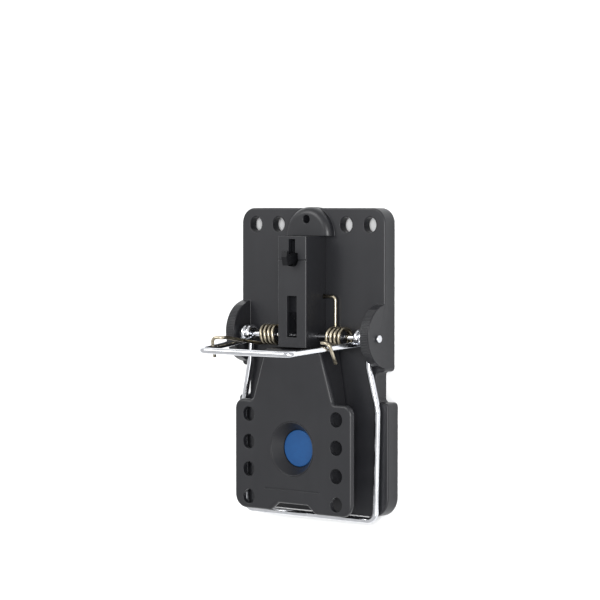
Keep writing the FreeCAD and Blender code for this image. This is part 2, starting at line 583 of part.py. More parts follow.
def make_base_tray():
    body = new_body("base_tray")
    outline = [
        ("base_rear_half", "base_rear"),
        ("base_rear_half", "-waist_begin"),
        ("waist_half", "-waist_begin"),
        ("waist_half", "-waist_end"),
        ("base_front_half", "-waist_end"),
        ("base_front_half", "-base_front"),
    ]
    left = [(f"-{a}", b) for a, b in reversed(outline)]
    sketch = new_sketch(body, "BaseOutline", "XY_Plane")
    draw_polygon(sketch, outline + left)
    add_pad(body, sketch, "BaseBlock", "base_thick")
    for name, radius, picked in (
        ("RearCorners", "base_rear_corner", [0]),
        ("FrontCorners", "base_front_corner", [5]),
        ("WaistCorners", "waist_corner", [1, 2, 3, 4]),
    ):
        corners = both_sides([outline[i] for i in picked])
        add_fillet(body, name, radius, upright_at(corners))
    add_fillet(body, "UpperEdge", "base_edge_round", edge_at_height("base_thick"))

    hollow = new_sketch(body, "HollowOutline", "XY_Plane")
    draw_rectangle(
        hollow,
        "rim_wall - waist_half",
        "rim_wall - waist_half + hollow_wide - rib_wall",
        "-hollow_front",
        "hollow_long - rib_wall - hollow_front",
    )
    depth = "base_thick - base_plate"
    first = add_pocket(body, hollow, "FirstHollow", depth, backwards=True)
    grid = body.newObject("PartDesign::MultiTransform", "HollowGrid")
    grid.Originals = [first]
    steps = []
    for axis, pitch, count in (
        ("X_Axis", "hollow_wide", "hollow_columns"),
        ("Y_Axis", "hollow_long", "hollow_rows"),
    ):
        step = body.newObject("PartDesign::LinearPattern", "Hollows" + axis[0])
        step.Direction = (origin_part(body, axis), [""])
        step.setExpression("Length", bound(f"{pitch} * ({count} - 1)"))
        step.setExpression("Occurrences", bound(count))
        steps.append(step)
    grid.Transformations = steps
    body.Tip = grid
    doc.recompute()

    strip = new_sketch(body, "StripOutline", "XY_Plane")
    draw_rectangle(
        strip,
        "rim_wall - base_rear_half",
        "base_rear_half - rim_wall",
        "hole_row - hole_strip_half",
        "hole_row + hole_strip_half",
    )
    add_pocket(body, strip, "HoleStrip", "base_thick - hole_plate", backwards=True)

    holes = new_sketch(body, "ScrewHoles", "XY_Plane")
    for side in ("", "-"):
        for across in ("hole_inner", "hole_outer"):
            draw_circle(holes, side + across, "hole_row", "hole_radius")
    add_pocket(body, holes, "ScrewHoleCut", "base_thick", backwards=True)

    lug = new_sketch(body, "LugOutline", "YZ_Plane", "lug_inner")
    draw_arch(
        lug, "lug_behind", "lug_centre_height", "lug_radius", "base_thick - base_plate"
    )
    lug_pad = add_pad(body, lug, "Lug", "lug_thick")
    ear = new_sketch(body, "EarOutline", "YZ_Plane", "ear_inner")
    draw_arch(ear, "-pivot_ahead", "pivot_height", "ear_radius", "base_thick - base_plate")
    ear_pad = add_pad(body, ear, "Ear", "ear_thick")
    add_mirror(body, [lug_pad, ear_pad], "LugAndEarLeft")

    profile = new_sketch(body, "NoseProfile", "XZ_Plane", "-nose_centre")
    draw_polygon(
        profile,
        [
            ("0", "base_thick - base_plate"),
            ("nose_radius", "base_thick - base_plate"),
            ("nose_radius", "nose_height"),
            ("0", "nose_height"),
        ],
    )
    add_revolution(body, profile, "Nose", 180.0)
    rim = edge_at_height("nose_height")
    add_fillet(body, "NoseEdge", "nose_round", lambda edge: rim(edge) and not is_line(edge))

    tether = new_sketch(body, "TetherHole", "XY_Plane")
    draw_circle(tether, "0", "nose_end - tether_hole_inset", "tether_hole_radius")
    add_pocket(body, tether, "TetherHoleCut", "nose_height", backwards=True)

    rod = new_sketch(body, "RodHole", "YZ_Plane")
    draw_circle(rod, "0", "axle_height", "rod_radius + seat_gap")
    add_pocket(body, rod, "RodHoleCut", "3 * lug_outer", both_ways=True)
    pin = new_sketch(body, "PinHole", "YZ_Plane")
    draw_circle(pin, "-pivot_ahead", "pivot_height", "pivot_pin_radius + seat_gap")
    add_pocket(body, pin, "PinHoleCut", "3 * ear_outer", both_ways=True)
    return body


# Ridge: a long cover that holds the rod's middle, the catch and the spring legs.


def make_catch_housing():
    body = new_body("catch_housing")
    outline = new_sketch(body, "RidgeOutline", "XY_Plane", "base_thick")
    draw_rectangle(
        outline, "-housing_half", "housing_half", "-housing_front", "housing_rear"
    )
    add_pad(body, outline, "RidgeBlock", "top_height - base_thick")

    level = edge_at_height("top_height")
    add_fillet(
        body,
        "RidgeEdges",
        "housing_edge_round",
        lambda edge: level(edge) and edge.BoundBox.XLength < 1e-6,
    )
    inside = new_sketch(body, "RidgeInside", "XY_Plane")
    draw_rectangle(
        inside,
        "-housing_clear_half",
        "housing_clear_half",
        "-2 * housing_front",
        "housing_clear_rear",
    )
    add_pocket(body, inside, "RidgeHollow", "housing_clear_height", backwards=True)

    slot = new_sketch(body, "SlotOutline", "XY_Plane")
    draw_rectangle(slot, "-slot_half", "slot_half", "-slot_front", "slot_rear")
    add_pocket(body, slot, "SlotCut", "2 * top_height", backwards=True)
    wide = new_sketch(body, "KeyholeWide", "XY_Plane")
    front = "catch_pin_behind - keyhole_front"
    draw_rectangle(
        wide, "-keyhole_half", "keyhole_half", front, "catch_pin_behind + keyhole_step"
    )
    add_pocket(body, wide, "KeyholeWideCut", "2 * top_height", backwards=True)
    corners = upright_at(both_sides([("keyhole_half", front)]))
    add_fillet(body, "KeyholeCorners", "keyhole_corner", corners)
    narrow = new_sketch(body, "KeyholeNarrow", "XY_Plane")
    draw_rectangle(
        narrow,
        "-keyhole_narrow",
        "keyhole_narrow",
        "catch_pin_behind",
        "catch_pin_behind + keyhole_rear",
    )
    add_pocket(body, narrow, "KeyholeNarrowCut", "2 * top_height", backwards=True)
    score = new_sketch(body, "ScoreOutline", "XY_Plane", "top_height - score_depth")
    draw_rectangle(
        score,
        "-2 * housing_half",
        "2 * housing_half",
        "score_behind",
        "score_behind + score_width",
    )
    add_pocket(body, score, "ScoreCut", "2 * score_depth", backwards=True)

    holes = new_sketch(body, "RodHole", "YZ_Plane")
    draw_circle(holes, "0", "axle_height", "rod_radius + seat_gap")
    add_pocket(body, holes, "RodHoleCut", "3 * housing_half", both_ways=True)
    bore = new_sketch(body, "CatchPinBore", "YZ_Plane")
    draw_circle(bore, "catch_pin_behind", "catch_pin_height", "catch_pin_radius + seat_gap")
    add_pocket(body, bore, "CatchPinBoreCut", "2 * catch_pin_half", both_ways=True)
    notch = new_sketch(body, "LegNotches", "YZ_Plane")
    draw_rectangle(
        notch,
        "leg_behind - coil_wire - leg_hole_gap",
        "leg_behind + coil_wire + leg_hole_gap",
        "0",
        "axle_height - coil_radius + coil_wire + leg_hole_gap",
    )
    add_pocket(body, notch, "LegNotchCut", "3 * housing_half", both_ways=True)
    return body


# Treadle: a thin deck on a hollow beam, a bait cup and a forked trip arm.


def make_treadle_deck():
    body = new_body("treadle_deck")
    outline = [
        ("neck_rear_half", "-neck_rear"),
        ("neck_half", "-deck_rear"),
        ("deck_half", "-deck_rear"),
        ("deck_half", "-deck_front"),
        ("notch_mouth_half", "-deck_front"),
        ("notch_floor_half", "-notch_floor"),
    ]
    left = [(f"-{a}", b) for a, b in reversed(outline)]
    sketch = new_sketch(body, "DeckOutline", "XY_Plane", "deck_under")
    draw_polygon(sketch, outline + left)
    add_pad(body, sketch, "DeckPlate", "deck_plate")
    for name, radius, picked in (
        ("FrontCorners", "deck_front_corner", [3]),
        ("Shoulders", "deck_shoulder", [2]),
        ("NeckCorners", "neck_corner", [0, 1, 4, 5]),
    ):
        corners = both_sides([outline[i] for i in picked])
        add_fillet(body, name, radius, upright_at(corners))
    add_fillet(body, "UpperEdge", "deck_edge_round", edge_at_height("top_height"))

    beam = [
        ("neck_rear_half", "-neck_rear"),
        ("beam_half", "-deck_rear"),
        ("beam_half", "-beam_front"),
    ]
    beam_left = [(f"-{a}", b) for a, b in reversed(beam)]
    walls = new_sketch(body, "BeamOutline", "XY_Plane", "skirt_low")
    draw_polygon(walls, beam + beam_left)
    add_pad(body, walls, "Beam", "deck_under - skirt_low")
    inside = [
        ("neck_rear_half - deck_wall", "-neck_rear - deck_wall"),
        ("beam_half - deck_wall", "-deck_rear"),
        ("beam_half - deck_wall", "deck_wall - beam_front"),
    ]
    inner_left = [(f"-({a})", b) for a, b in reversed(inside)]
    hollow = new_sketch(body, "BeamInside", "XY_Plane")
    draw_polygon(hollow, inside + inner_left)
    add_pocket(body, hollow, "BeamHollow", "deck_under", backwards=True)

    ledge = new_sketch(body, "LedgeOutline", "XY_Plane", "cup_seat - cup_ledge")
    draw_circle(ledge, "0", "-cup_ahead", "cup_recess_radius + deck_wall")
    add_pad(body, ledge, "Ledge", "deck_under - cup_seat + cup_ledge")
    seat = new_sketch(body, "SeatOutline", "XY_Plane", "cup_seat")
    draw_circle(seat, "0", "-cup_ahead", "cup_recess_radius")
    add_pocket(body, seat, "SeatCut", "2 * cup_flange_thick", backwards=True)
    hole = new_sketch(body, "CupHole", "XY_Plane")
    draw_circle(hole, "0", "-cup_ahead", "cup_hole_radius")
    add_pocket(body, hole, "CupHoleCut", "2 * top_height", backwards=True)

    vent = new_sketch(body, "VentOutline", "XY_Plane")
    draw_circle(vent, "vent_across", "-vent_first", "vent_radius")
    draw_circle(vent, "-vent_across", "-vent_first", "vent_radius")
    first = add_pocket(body, vent, "FirstVents", "2 * top_height", backwards=True)
    add_row(body, [first], "Vents", "Y_Axis", "vent_pitch", "vent_count", backwards=True)

    groove = new_sketch(body, "GrooveOutline", "XY_Plane", "top_height - groove_depth")
    draw_rectangle(
        groove,
        "-groove_half",
        "groove_half",
        "-groove_ahead",
        "groove_width - groove_ahead",
    )
    add_pocket(body, groove, "GrooveCut", "2 * groove_depth", backwards=True)

    gate = new_sketch(body, "ArmGate", "XZ_Plane", "neck_rear - deck_wall")
    draw_rectangle(gate, "-gate_half", "gate_half", "0", "deck_under")
    add_pocket(body, gate, "ArmGateCut", "4 * deck_wall", both_ways=True)
    return body


def make_trip_arm():
    body = new_body("trip_arm")
    side = new_sketch(body, "ArmSide", "YZ_Plane")
    draw_polygon(
        side,
        [
            ("-arm_front", "deck_under"),
            ("-arm_front", "deck_under - tail_thick"),
            ("-pivot_ahead - ear_radius - tail_thick", "arm_low"),
            ("arm_rise_begin", "arm_low"),
            ("arm_rise_end", "tail_low"),
            ("tail_rear", "tail_low"),
            ("tail_rear", "tail_high"),
            ("arm_rise_end", "tail_high"),
            ("arm_rise_begin", "arm_under_rod"),
            ("-neck_rear", "arm_under_rod"),
            ("-neck_rear", "deck_under"),
        ],
    )
    add_pad(body, side, "ArmBlock", "2 * arm_half", both_ways=True)
    fork = new_sketch(body, "ForkOutline", "XY_Plane")
    draw_rectangle(fork, "-fork_half", "fork_half", "fork_front", "2 * tail_rear")
    add_pocket(body, fork, "ForkCut", "2 * top_height", backwards=True)
    hole = new_sketch(body, "PivotHole", "YZ_Plane")
    draw_circle(hole, "-pivot_ahead", "pivot_height", "pivot_pin_radius + running_gap")
    add_pocket(body, hole, "PivotHoleCut", "3 * arm_half", both_ways=True)
    return body


def make_bait_cup():
    body = new_body("bait_cup")
    body.setExpression("Placement.Base.y", bound("axle_place - cup_ahead"))
    profile = new_sketch(body, "CupProfile", "XZ_Plane")
    draw_polygon(
        profile,
        [
            ("0", "pad_low - cup_floor"),
            ("cup_shell_radius", "pad_low - cup_floor"),
            ("cup_shell_radius", "cup_seat"),
            ("cup_flange_radius", "cup_seat"),
            ("cup_flange_radius", "top_height"),
            ("cup_lip_radius", "top_height"),
            ("cup_well_radius", "pad_top"),
            ("cup_well_radius", "pad_low"),
            ("0", "pad_low"),
        ],
    )
    add_revolution(body, profile, "Cup")
    return body


def make_attractant_pad():
    pad = doc.addObject("Part::Cylinder", "Pad")
    pad.Label = "attractant_pad"
    pad.setExpression("Radius", bound("pad_radius"))
    pad.setExpression("Height", bound("pad_thick"))
    pad.setExpression("Placement.Base.y", bound("axle_place - cup_ahead"))
    pad.setExpression("Placement.Base.z", bound("pad_low"))
    return pad


# Catch: a hook that stands in the ridge's keyhole. Its outline is drawn hooked
# about its pin and turned back to the released state by its Placement.


def make_catch_lever():
    body = new_body("catch_lever")
    side = new_sketch(body, "CatchSide", "YZ_Plane")
    draw_polygon(
        side,
        [
            ("-catch_post_front", "-catch_boss"),
            ("catch_tail_begin", "-catch_tail_low"),
            ("catch_tail_end", "-catch_tail_low"),
            ("catch_tail_end", "catch_tail_high"),
            ("catch_tail_begin", "catch_tail_high"),
            ("post_rear", "catch_boss"),
            ("post_rear", "beak_low"),
            ("beak_tip", "beak_low"),
            ("beak_tip", "beak_low + catch_beak_thick / 2"),
            ("post_rear", "beak_low + catch_beak_thick"),
            ("-catch_post_front", "beak_low + catch_beak_thick"),
        ],
    )
    add_pad(body, side, "CatchBlock", "2 * catch_half", both_ways=True)
    boss = new_sketch(body, "BossOutline", "YZ_Plane")
    draw_circle(boss, "0", "0", "catch_boss")
    add_pad(body, boss, "Boss", "2 * catch_half", both_ways=True)
    bar = new_sketch(body, "CrossBarOutline", "YZ_Plane")
    draw_rectangle(
        bar, "catch_tail_begin", "catch_tail_end", "-catch_tail_low", "catch_tail_high"
    )
    add_pad(body, bar, "CrossBar", "2 * arm_half", both_ways=True)
    hole = new_sketch(body, "CatchPinHole", "YZ_Plane")
    draw_circle(hole, "0", "0", "catch_pin_radius + running_gap")
    add_pocket(body, hole, "CatchPinHoleCut", "3 * catch_half", both_ways=True)
    body.Placement = Placement(Vector(), Rotation(Vector(1, 0, 0), read("catch_travel")))
    body.setExpression("Placement.Base.y", bound("axle_place + catch_pin_behind"))
    body.setExpression("Placement.Base.z", bound("catch_pin_height"))
    return body


# Axle: the rod, with a cap and a washer at each end.


def make_axle_rod():
    rod = pin_across("rod_blank", "rod_radius", "rod_half", "0", "axle_height")
    doc.recompute()
    rim = [i for i, edge in enumerate(rod.Shape.Edges, start=1) if edge.isClosed()]
    chamfer = doc.addObject("Part::Chamfer", "RodEnds")
    chamfer.Base = rod
    cut = read("rod_chamfer")
    chamfer.Edges = [(i, cut, cut) for i in rim]
    chamfer.Label = "axle_rod"
    return chamfer


def make_cap(label, side):
    body = new_body(label)
    profile = new_sketch(body, "CapProfile", "XZ_Plane")
    bore = "rod_radius + seat_gap"
    draw_polygon(
        profile,
        [
            (bore, "0"),
            ("cap_radius", "0"),
            ("cap_radius", "cap_length - cap_round"),
            ("cap_radius - cap_round", "cap_length"),
            ("0", "cap_length"),
            ("0", "cap_length - cap_end"),
            (bore, "cap_length - cap_end"),
        ],
    )
    add_revolution(body, profile, "Cap")
    body.Placement = Placement(Vector(), Rotation(Vector(0, 1, 0), 90 * side))
    body.setExpression("Placement.Base.x", bound(f"{side} * cap_inner"))
    body.setExpression("Placement.Base.y", bound("axle_place"))
    body.setExpression("Placement.Base.z", bound("axle_height"))
    return body


# Bent wire: straight runs joined by tangent arcs, swept with a round section.


def arc_at(before, corner, after, radius):
    """Return the tangent arc at a corner, with the points where it begins and ends."""
    to_before = (before - corner).normalize()
    to_after = (after - corner).normalize()
    turn = math.pi - to_before.getAngle(to_after)
    setback = radius * math.tan(turn / 2)
    begin = corner + to_before * setback
    end = corner + to_after * setback
    inward = (to_before + to_after).normalize()
    middle = corner + inward * (radius / math.cos(turn / 2) - radius)
    return Part.Arc(begin, middle, end).toShape(), begin, end


def bent_run(points, radii):
    """Return the edges of straight runs through points, bent at the inner ones."""
    edges = []
    last = points[0]
    for index, radius in enumerate(radii, start=1):
        arc, begin, end = arc_at(points[index - 1], points[index], points[index + 1], radius)
        edges.append(Part.LineSegment(last, begin).toShape())
        edges.append(arc)
        last = end
    edges.append(Part.LineSegment(last, points[-1]).toShape())
    return edges


def sweep_round(edges, radius):
    """Sweep a round section along edges that follow each other."""
    path = Part.Wire(edges)
    first = edges[0]
    start = first.valueAt(first.FirstParameter)
    along = first.tangentAt(first.FirstParameter)
    ring = Part.Wire([Part.Circle(start, along, radius).toShape()])
    tube = path.makePipeShell([ring], True, False)
    wanted = math.pi * radius**2 * path.Length
    if abs(tube.Volume / wanted - 1) > 0.01:
        raise RuntimeError("a swept wire has lost its section")
    return tube


def mirrored_point(point):
    return Vector(-point.x, point.y, point.z)


def round_the_rod(side_x, angle, radius):
    """Return a point on a circle about the axle, 0 at the bottom and 90 ahead."""
    turn = math.radians(angle)
    up = read("axle_height")
    return Vector(side_x, -radius * math.sin(turn), up - radius * math.cos(turn))


def eye_arc(plane, leave_angle):
    """Return the arc of an eye that leaves the rod at an angle."""
    radius = read("eye_radius")
    start = leave_angle - read("eye_turn")
    middle = leave_angle - read("eye_turn") / 2
    spots = [round_the_rod(plane, a, radius) for a in (start, middle, leave_angle)]
    return Part.Arc(*spots).toShape()


def make_bow(label, half_points, half_radii, plane, leave_angle):
    """Make a bow from its right half: an eye, an arm and half of its bar."""
    points = half_points + [mirrored_point(p) for p in reversed(half_points)]
    radii = half_radii + list(reversed(half_radii))
    right_eye = eye_arc(plane, leave_angle)
    ends = [right_eye.valueAt(v) for v in right_eye.ParameterRange]
    middle = right_eye.valueAt(sum(right_eye.ParameterRange) / 2)
    if (ends[0] - half_points[0]).Length < 1e-6:
        ends.reverse()
    left_eye = Part.Arc(
        mirrored_point(ends[1]), mirrored_point(middle), mirrored_point(ends[0])
    ).toShape()
    edges = [right_eye] + bent_run(points, radii) + [left_eye]
    bow = doc.addObject("Part::Feature", "Bow_" + label)
    bow.Shape = sweep_round(edges, read("wire_radius"))
    bow.Label = label
    bow.Placement = Placement(Vector(0, read("axle_place"), 0), Rotation())
    return bow


def make_kill_bow():
    up = read("axle_height")
    plane = read("kill_eye")
    rest = read("kill_rest")
    start = round_the_rod(plane, 0, read("eye_radius"))
    half = [
        start,
        start + Vector(0, -read("kill_straight"), 0),
        Vector(
            read("kill_knee_half"),
            -read("kill_knee_ahead"),
            up + rest + read("kill_knee_lift"),
        ),
        Vector(read("kill_wide_half"), -read("kill_wide_ahead"), up + rest),
        Vector(read("kill_front_half"), -read("kill_ahead"), up + rest),
    ]
    bend = read("arm_bend")
    return make_bow("kill_bow", half, [bend, bend, bend, read("kill_corner")], plane, 0)


def setting_arm():
    """Return the centre line of the setting bow's right arm, from eye to corner."""
    up = read("axle_height")
    start = round_the_rod(read("setting_eye"), 90, read("eye_radius"))
    knee = start + Vector(0, 0, read("setting_straight"))
    corner = Vector(
        read("setting_half"), -read("setting_bar_ahead"), up + read("setting_bar_up")
    )
    return [start, knee, corner]


def make_setting_bow():
    radii = [read("arm_bend"), read("setting_corner")]
    return make_bow("setting_bow", setting_arm(), radii, read("setting_eye"), 90)


# Torsion springs: each is one wire, with a leg in the ridge's wall, a coil round
# the rod and a hooked leg over the setting bow's arm.


def biarc(begin, begin_way, end, end_way):
    """Return two arcs that join two points and follow both directions."""
    gap = end - begin
    both = begin_way + end_way
    a = 2 * (begin_way.dot(end_way) - 1)
    b = -2 * gap.dot(both)
    c = gap.dot(gap)
    reach = c / -b if abs(a) < 1e-9 else None
    if reach is None:
        root = math.sqrt(b * b - 4 * a * c)
        reach = max((-b + root) / (2 * a), (-b - root) / (2 * a))
    first_tip = begin + begin_way * reach
    second_tip = end - end_way * reach
    joint = (first_tip + second_tip) * 0.5
    return [
        tangent_arc(begin, first_tip, joint),
        tangent_arc(joint, second_tip, end),
    ]


def tangent_arc(begin, tip, end):
    """Return the arc from begin to end whose end tangents meet at the tip."""
    chord_middle = (begin + end) * 0.5
    to_tip = (begin - tip).Length
    inward = chord_middle - tip
    half_chord = (end - begin).Length / 2
    radius = to_tip * half_chord / inward.Length
    middle = tip + inward.normalize() * (math.hypot(radius, to_tip) - radius)
    return Part.Arc(begin, middle, end).toShape()


def coil_edges(side):
    """Return the coil as a biarc for each quarter of a turn."""
    radius = read("coil_radius")
    pitch = read("coil_pitch")
    quarters = int(read("coil_turns")) * 4 + 1
    up = read("axle_height")

    def spot(quarter):
        turn = quarter * math.pi / 2
        across = side * (read("coil_inner") + pitch * quarter / 4)
        return Vector(
            across, -radius * math.sin(turn), up - radius * math.cos(turn)
        )

    def heading(quarter):
        turn = quarter * math.pi / 2
        lead = pitch / (2 * math.pi)
        level = 0 if quarter in (0, quarters) else side * lead
        way = Vector(level, -radius * math.cos(turn), radius * math.sin(turn))
        return way.normalize()

    edges = []
    for quarter in range(quarters):
        edges += biarc(
            spot(quarter), heading(quarter), spot(quarter + 1), heading(quarter + 1)
        )
    return edges, spot(0), spot(quarters)


def least_gap(edges, radius):
    """Return the least gap of a wire to itself, measured on points along it."""
    points = []
    for edge in edges:
        count = max(3, int(edge.Length / 0.5))
        points += edge.discretize(count)[:-1]
    run = [0.0]
    for one, two in zip(points, points[1:]):
        run.append(run[-1] + (two - one).Length)
    apart = 6 * radius
    least = min(
        (points[i] - points[j]).Length
        for i in range(len(points))
        for j in range(i + 1, len(points))
        if run[j] - run[i] > apart
    )
    return least - 2 * radius


def make_spring(word, side):
    wire = read("coil_wire")
    bend = read("leg_bend")
    coil, inner, outer = coil_edges(side)
    mouth = read("housing_half") - read("leg_bite")
    behind = read("leg_behind")
    fixed_leg = bent_run(
        [
            Vector(side * mouth, behind, inner.z),
            Vector(inner.x, behind, inner.z),
            inner,
        ],
        [bend],
    )
    start, knee, corner = setting_arm()
    along = (corner - knee).normalize()
    height = read("axle_height") + read(f"hook_{word}")
    arm = knee + along * ((height - knee.z) / along.z)
    clear = read("wire_radius") + wire + read("hook_gap")
    spread = read("hook_spread")
    rear = arm.y + read(f"hook_lean_{word}") + clear
    inboard = Vector(side * (arm.x - clear), rear, height - spread - clear - bend / 2)
    over = Vector(side * (arm.x - clear + spread), rear, height - 2 * spread)
    outboard = Vector(side * (arm.x + clear), rear, height)
    tip = Vector(
        side * (arm.x + clear + spread),
        arm.y - read(f"hook_tail_{word}"),
        height - read(f"hook_drop_{word}"),
    )
    away = outer + Vector(0, 0, read("leg_rise"))
    bends = [bend, bend, bend, read("hook_curl")]
    hook = bent_run([outer, away, inboard, over, outboard, tip], bends)
    edges = fixed_leg + coil + hook
    label = f"spring_{word}"
    spring = doc.addObject("Part::Feature", "Wire_" + label)
    spring.Shape = sweep_round(edges, wire)
    spring.Label = label
    spring.Placement = Placement(Vector(0, read("axle_place"), 0), Rotation())
    print(f"{label}: least gap to itself {least_gap(edges, wire):.3f} mm")
    return spring


def make_all():
    parts = [
        make_base_tray(),
        make_catch_housing(),
        make_treadle_deck(),
        make_trip_arm(),
        make_bait_cup(),
        make_attractant_pad(),
        make_catch_lever(),
        pin_across(
            "treadle_pin", "pivot_pin_radius", "ear_outer", "-pivot_ahead", "pivot_height"
        ),
        pin_across(
            "catch_pin",
            "catch_pin_radius",
            "catch_pin_half",
            "catch_pin_behind",
            "catch_pin_height",
        ),
        make_axle_rod(),
        make_kill_bow(),
        make_setting_bow(),
    ]
    bore = "rod_radius + seat_gap"
    washer_outer = "washer_inner + washer_thick"
    bush_radius = "coil_radius - coil_wire - bush_gap"
    bush_inner = "coil_inner - coil_wire + bush_inset"
    bush_outer = "coil_outer + coil_wire - bush_inset"
    for word, side in (("left", -1), ("right", 1)):
        parts.append(make_cap(f"axle_cap_{word}", side))
        parts.append(
            bored_cylinder(
                f"axle_washer_{word}",
                "washer_radius",
                bore,
                "washer_inner",
                washer_outer,
                side,
            )
        )
        parts.append(
            bored_cylinder(
                f"spring_bush_{word}", bush_radius, bore, bush_inner, bush_outer, side
            )
        )
        parts.append(make_spring(word, side))
    return parts


parts = make_all()
doc.recompute()

failed = [
    item.Name
    for item in doc.Objects
    if any(word in state for state in item.State for word in ("Invalid", "Error"))
]
if failed:
    raise RuntimeError(f"these objects failed: {failed}")
for part in parts:
    if part.Shape.isNull() or not part.Shape.isValid():
        raise RuntimeError(f"{part.Label} has no valid shape")

os.makedirs("parts", exist_ok=True)
for part in parts:
    part.Shape.exportStep(f"parts/{part.Label}.step")

for name in ("axle_place", "kill_ahead", "armed_bar_behind", "setting_angle", "coil_inner"):
    print(f"{name}: {read(name):.4f}")
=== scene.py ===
"""A snap trap of black moulding and bright wire, lying on a pale studio floor.

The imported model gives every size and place. This script softens the moulded edges,
adds the small details that show from a step away, and gives each surface its finish.
Lengths are metres, with the row frame's axes.
"""

import logging
import math
from dataclasses import dataclass
from enum import Enum

import bmesh
import bpy
from mathutils import Matrix, Vector


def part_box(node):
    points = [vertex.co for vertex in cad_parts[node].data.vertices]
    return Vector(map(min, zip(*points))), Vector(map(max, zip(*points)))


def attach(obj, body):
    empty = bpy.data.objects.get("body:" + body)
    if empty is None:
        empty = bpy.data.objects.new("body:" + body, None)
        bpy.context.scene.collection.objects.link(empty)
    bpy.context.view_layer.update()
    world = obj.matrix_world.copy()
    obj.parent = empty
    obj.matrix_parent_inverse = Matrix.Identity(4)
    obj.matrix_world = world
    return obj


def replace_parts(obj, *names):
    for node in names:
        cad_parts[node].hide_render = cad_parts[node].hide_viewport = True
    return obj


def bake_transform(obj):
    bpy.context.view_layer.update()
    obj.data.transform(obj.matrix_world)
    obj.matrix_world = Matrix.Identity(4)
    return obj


MM = 0.001
MIDDLE = 0.5
IMAGE_SIDE = 600
LOG = logging.getLogger("snap_trap")

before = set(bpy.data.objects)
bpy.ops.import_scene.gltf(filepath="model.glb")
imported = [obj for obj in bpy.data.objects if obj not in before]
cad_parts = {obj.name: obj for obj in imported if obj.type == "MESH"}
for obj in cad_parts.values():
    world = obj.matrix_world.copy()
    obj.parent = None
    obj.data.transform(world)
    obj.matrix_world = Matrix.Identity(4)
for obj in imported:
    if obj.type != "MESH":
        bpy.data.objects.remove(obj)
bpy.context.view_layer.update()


class Body(Enum):
    """The bodies of the model, by their names in the record."""

    BASE = "base"
    BOWS = "bows"
    TREADLE = "treadle"
    CATCH = "catch"


class Slot(Enum):
    """The material slots of the record."""

    MOULDING = "black_moulding"
    WIRE = "bright_wire"
    SPRING = "yellow_spring"
    ATTRACTANT = "blue_attractant"


class Side(Enum):
    """The two sides of the trap, with the sign of X on each."""

    LEFT = -1
    RIGHT = 1


class Field:
    """A shader socket that can be reckoned with."""

    def __init__(self, shader: "Shader", socket: bpy.types.NodeSocket) -> None:
        """Keep the socket and the shader that it belongs to."""
        self.shader = shader
        self.socket = socket

    def reckon(self, operation: str, first: "Field | float", second: "Field | float") -> "Field":
        """Add a Math node.

        Args:
            operation: the node's operation.
            first: its first value.
            second: its second value.

        Returns:
            The node's result.
        """
        return self.shader.node("ShaderNodeMath", {"operation": operation}, {0: first, 1: second})

    def __add__(self, other: "Field | float") -> "Field":
        """Give self + other."""
        return self.reckon("ADD", self, other)

    __radd__ = __add__

    def __sub__(self, other: "Field | float") -> "Field":
        """Give self - other."""
        return self.reckon("SUBTRACT", self, other)

    def __rsub__(self, other: "Field | float") -> "Field":
        """Give other - self."""
        return self.reckon("SUBTRACT", other, self)

    def __mul__(self, other: "Field | float") -> "Field":
        """Give self * other."""
        return self.reckon("MULTIPLY", self, other)

    __rmul__ = __mul__

    def __gt__(self, other: "Field | float") -> "Field":
        """Give 1 where self is greater than other, and 0 elsewhere."""
        return self.reckon("GREATER_THAN", self, other)


